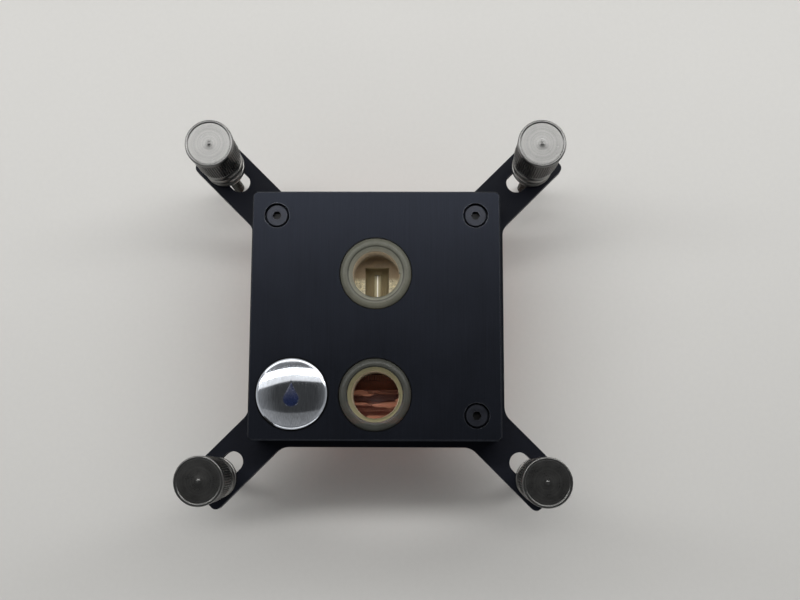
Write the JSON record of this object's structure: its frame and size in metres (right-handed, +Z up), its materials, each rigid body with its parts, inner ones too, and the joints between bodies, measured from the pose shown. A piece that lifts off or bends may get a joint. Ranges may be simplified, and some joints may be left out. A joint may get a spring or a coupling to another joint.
{
  "type": "liquid cooling cold plate",
  "caption": "Square copper cold plate for a processor with a black cover, clear manifold, two threaded ports and a four-armed bracket with sprung thumb nuts.",
  "frame": {"origin": "centre of the copper contact face; only the four studs reach below it", "axes": "+Z up, out of the ported face; +Y from the outlet port towards the inlet port; +X to the right of both"},
  "size_m": [0.0956, 0.0956, 0.0444],
  "materials": {
    "copper": "bare machined copper",
    "bracket_black": "matte black powder coat on steel",
    "cover_black": "brushed, black anodised",
    "clear_acrylic": "clear acrylic, machined matt",
    "plain_steel": "bare stainless sheet",
    "badge_nickel": "polished nickel",
    "adhesive_foam": "black double-sided foam tape",
    "seal_rubber": "black nitrile rubber",
    "screw_black": "black oxide",
    "stud_steel": "zinc-plated steel thread",
    "nut_nickel": "turned and nickel-plated"
  },
  "bodies": {
    "block": {"cold_plate": "copper", "mounting_bracket": "bracket_black", "manifold": "clear_acrylic", "o_ring": "seal_rubber", "jet_plate": "plain_steel", "top_cover": "cover_black", "badge": "badge_nickel", "badge_pad": "adhesive_foam", "cover_screw_1": "screw_black", "cover_screw_2": "screw_black", "cover_screw_3": "screw_black", "cover_screw_4": "screw_black", "base_screw_1": "screw_black", "base_screw_2": "screw_black", "base_screw_3": "screw_black", "base_screw_4": "screw_black", "base_screw_5": "screw_black", "base_screw_6": "screw_black", "base_screw_7": "screw_black", "base_screw_8": "screw_black"},
    "stud_rear_left": {"stud_rear_left": "stud_steel", "spring_foot_rear_left": "nut_nickel", "spring_rear_left": "stud_steel"},
    "nut_rear_left": {"thumb_nut_rear_left": "nut_nickel"},
    "stud_rear_right": {"stud_rear_right": "stud_steel", "spring_foot_rear_right": "nut_nickel", "spring_rear_right": "stud_steel"},
    "nut_rear_right": {"thumb_nut_rear_right": "nut_nickel"},
    "stud_front_left": {"stud_front_left": "stud_steel", "spring_foot_front_left": "nut_nickel", "spring_front_left": "stud_steel"},
    "nut_front_left": {"thumb_nut_front_left": "nut_nickel"},
    "stud_front_right": {"stud_front_right": "stud_steel", "spring_foot_front_right": "nut_nickel", "spring_front_right": "stud_steel"},
    "nut_front_right": {"thumb_nut_front_right": "nut_nickel"}
  },
  "joints": [
    {"name": "rear_left_slot_slide", "type": "slide", "parent": "block", "child": "stud_rear_left", "axis": [-0.7071, 0.7071, 0], "range_m": [-0.00566, 0]},
    {"name": "rear_left_nut_turn", "type": "hinge", "parent": "stud_rear_left", "child": "nut_rear_left", "pos_m": [-0.04, 0.04, 0.0226], "axis": [0, 0, 1], "continuous": true},
    {"name": "rear_right_slot_slide", "type": "slide", "parent": "block", "child": "stud_rear_right", "axis": [0.7071, 0.7071, 0], "range_m": [-0.00566, 0]},
    {"name": "rear_right_nut_turn", "type": "hinge", "parent": "stud_rear_right", "child": "nut_rear_right", "pos_m": [0.04, 0.04, 0.0226], "axis": [0, 0, 1], "continuous": true},
    {"name": "front_left_slot_slide", "type": "slide", "parent": "block", "child": "stud_front_left", "axis": [-0.7071, -0.7071, 0], "range_m": [-0.00566, 0]},
    {"name": "front_left_nut_turn", "type": "hinge", "parent": "stud_front_left", "child": "nut_front_left", "pos_m": [-0.04, -0.04, 0.0226], "axis": [0, 0, 1], "continuous": true},
    {"name": "front_right_slot_slide", "type": "slide", "parent": "block", "child": "stud_front_right", "axis": [0.7071, -0.7071, 0], "range_m": [-0.00566, 0]},
    {"name": "front_right_nut_turn", "type": "hinge", "parent": "stud_front_right", "child": "nut_front_right", "pos_m": [0.04, -0.04, 0.0226], "axis": [0, 0, 1], "continuous": true}
  ]
}
